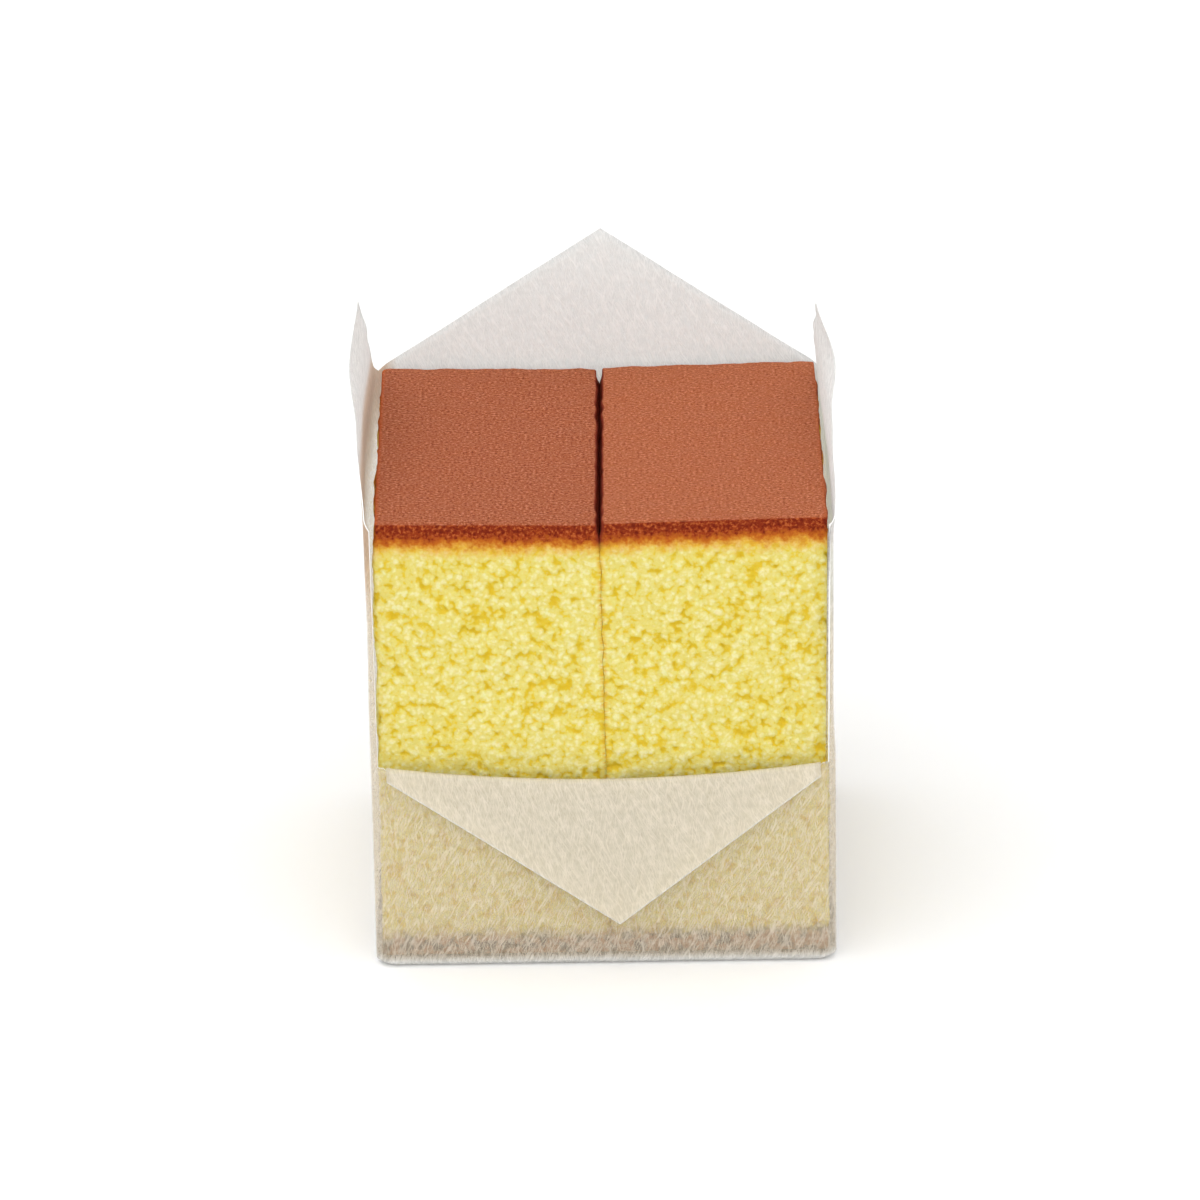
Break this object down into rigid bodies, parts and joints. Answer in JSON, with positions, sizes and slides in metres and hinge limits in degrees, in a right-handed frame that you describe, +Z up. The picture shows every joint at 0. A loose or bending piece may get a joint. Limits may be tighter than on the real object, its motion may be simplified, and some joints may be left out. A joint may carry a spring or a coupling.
{
  "type": "castella sponge cake",
  "caption": "Tall yellow sponge cake with a brown crust, cut into upright slices and wrapped in a folded white paper case that is open at the front.",
  "frame": {"origin": "middle of the wrapper's underside, on the surface that the cake stands on", "axes": "+Z up; -Y towards the open front, where the cut crumb shows; +X to the viewer's right"},
  "size_m": [0.0614, 0.0558, 0.0808],
  "materials": {
    "sponge_left": "yellow open crumb with a matte reddish-brown baked crust on top",
    "sponge_right": "yellow open crumb with a matte reddish-brown baked crust on top",
    "wrapper_paper": "thin translucent white fibre paper, matte"
  },
  "bodies": {
    "root": {"slice_left": "sponge_left", "slice_right": "sponge_right", "wrapper": "wrapper_paper"}
  },
  "joints": []
}
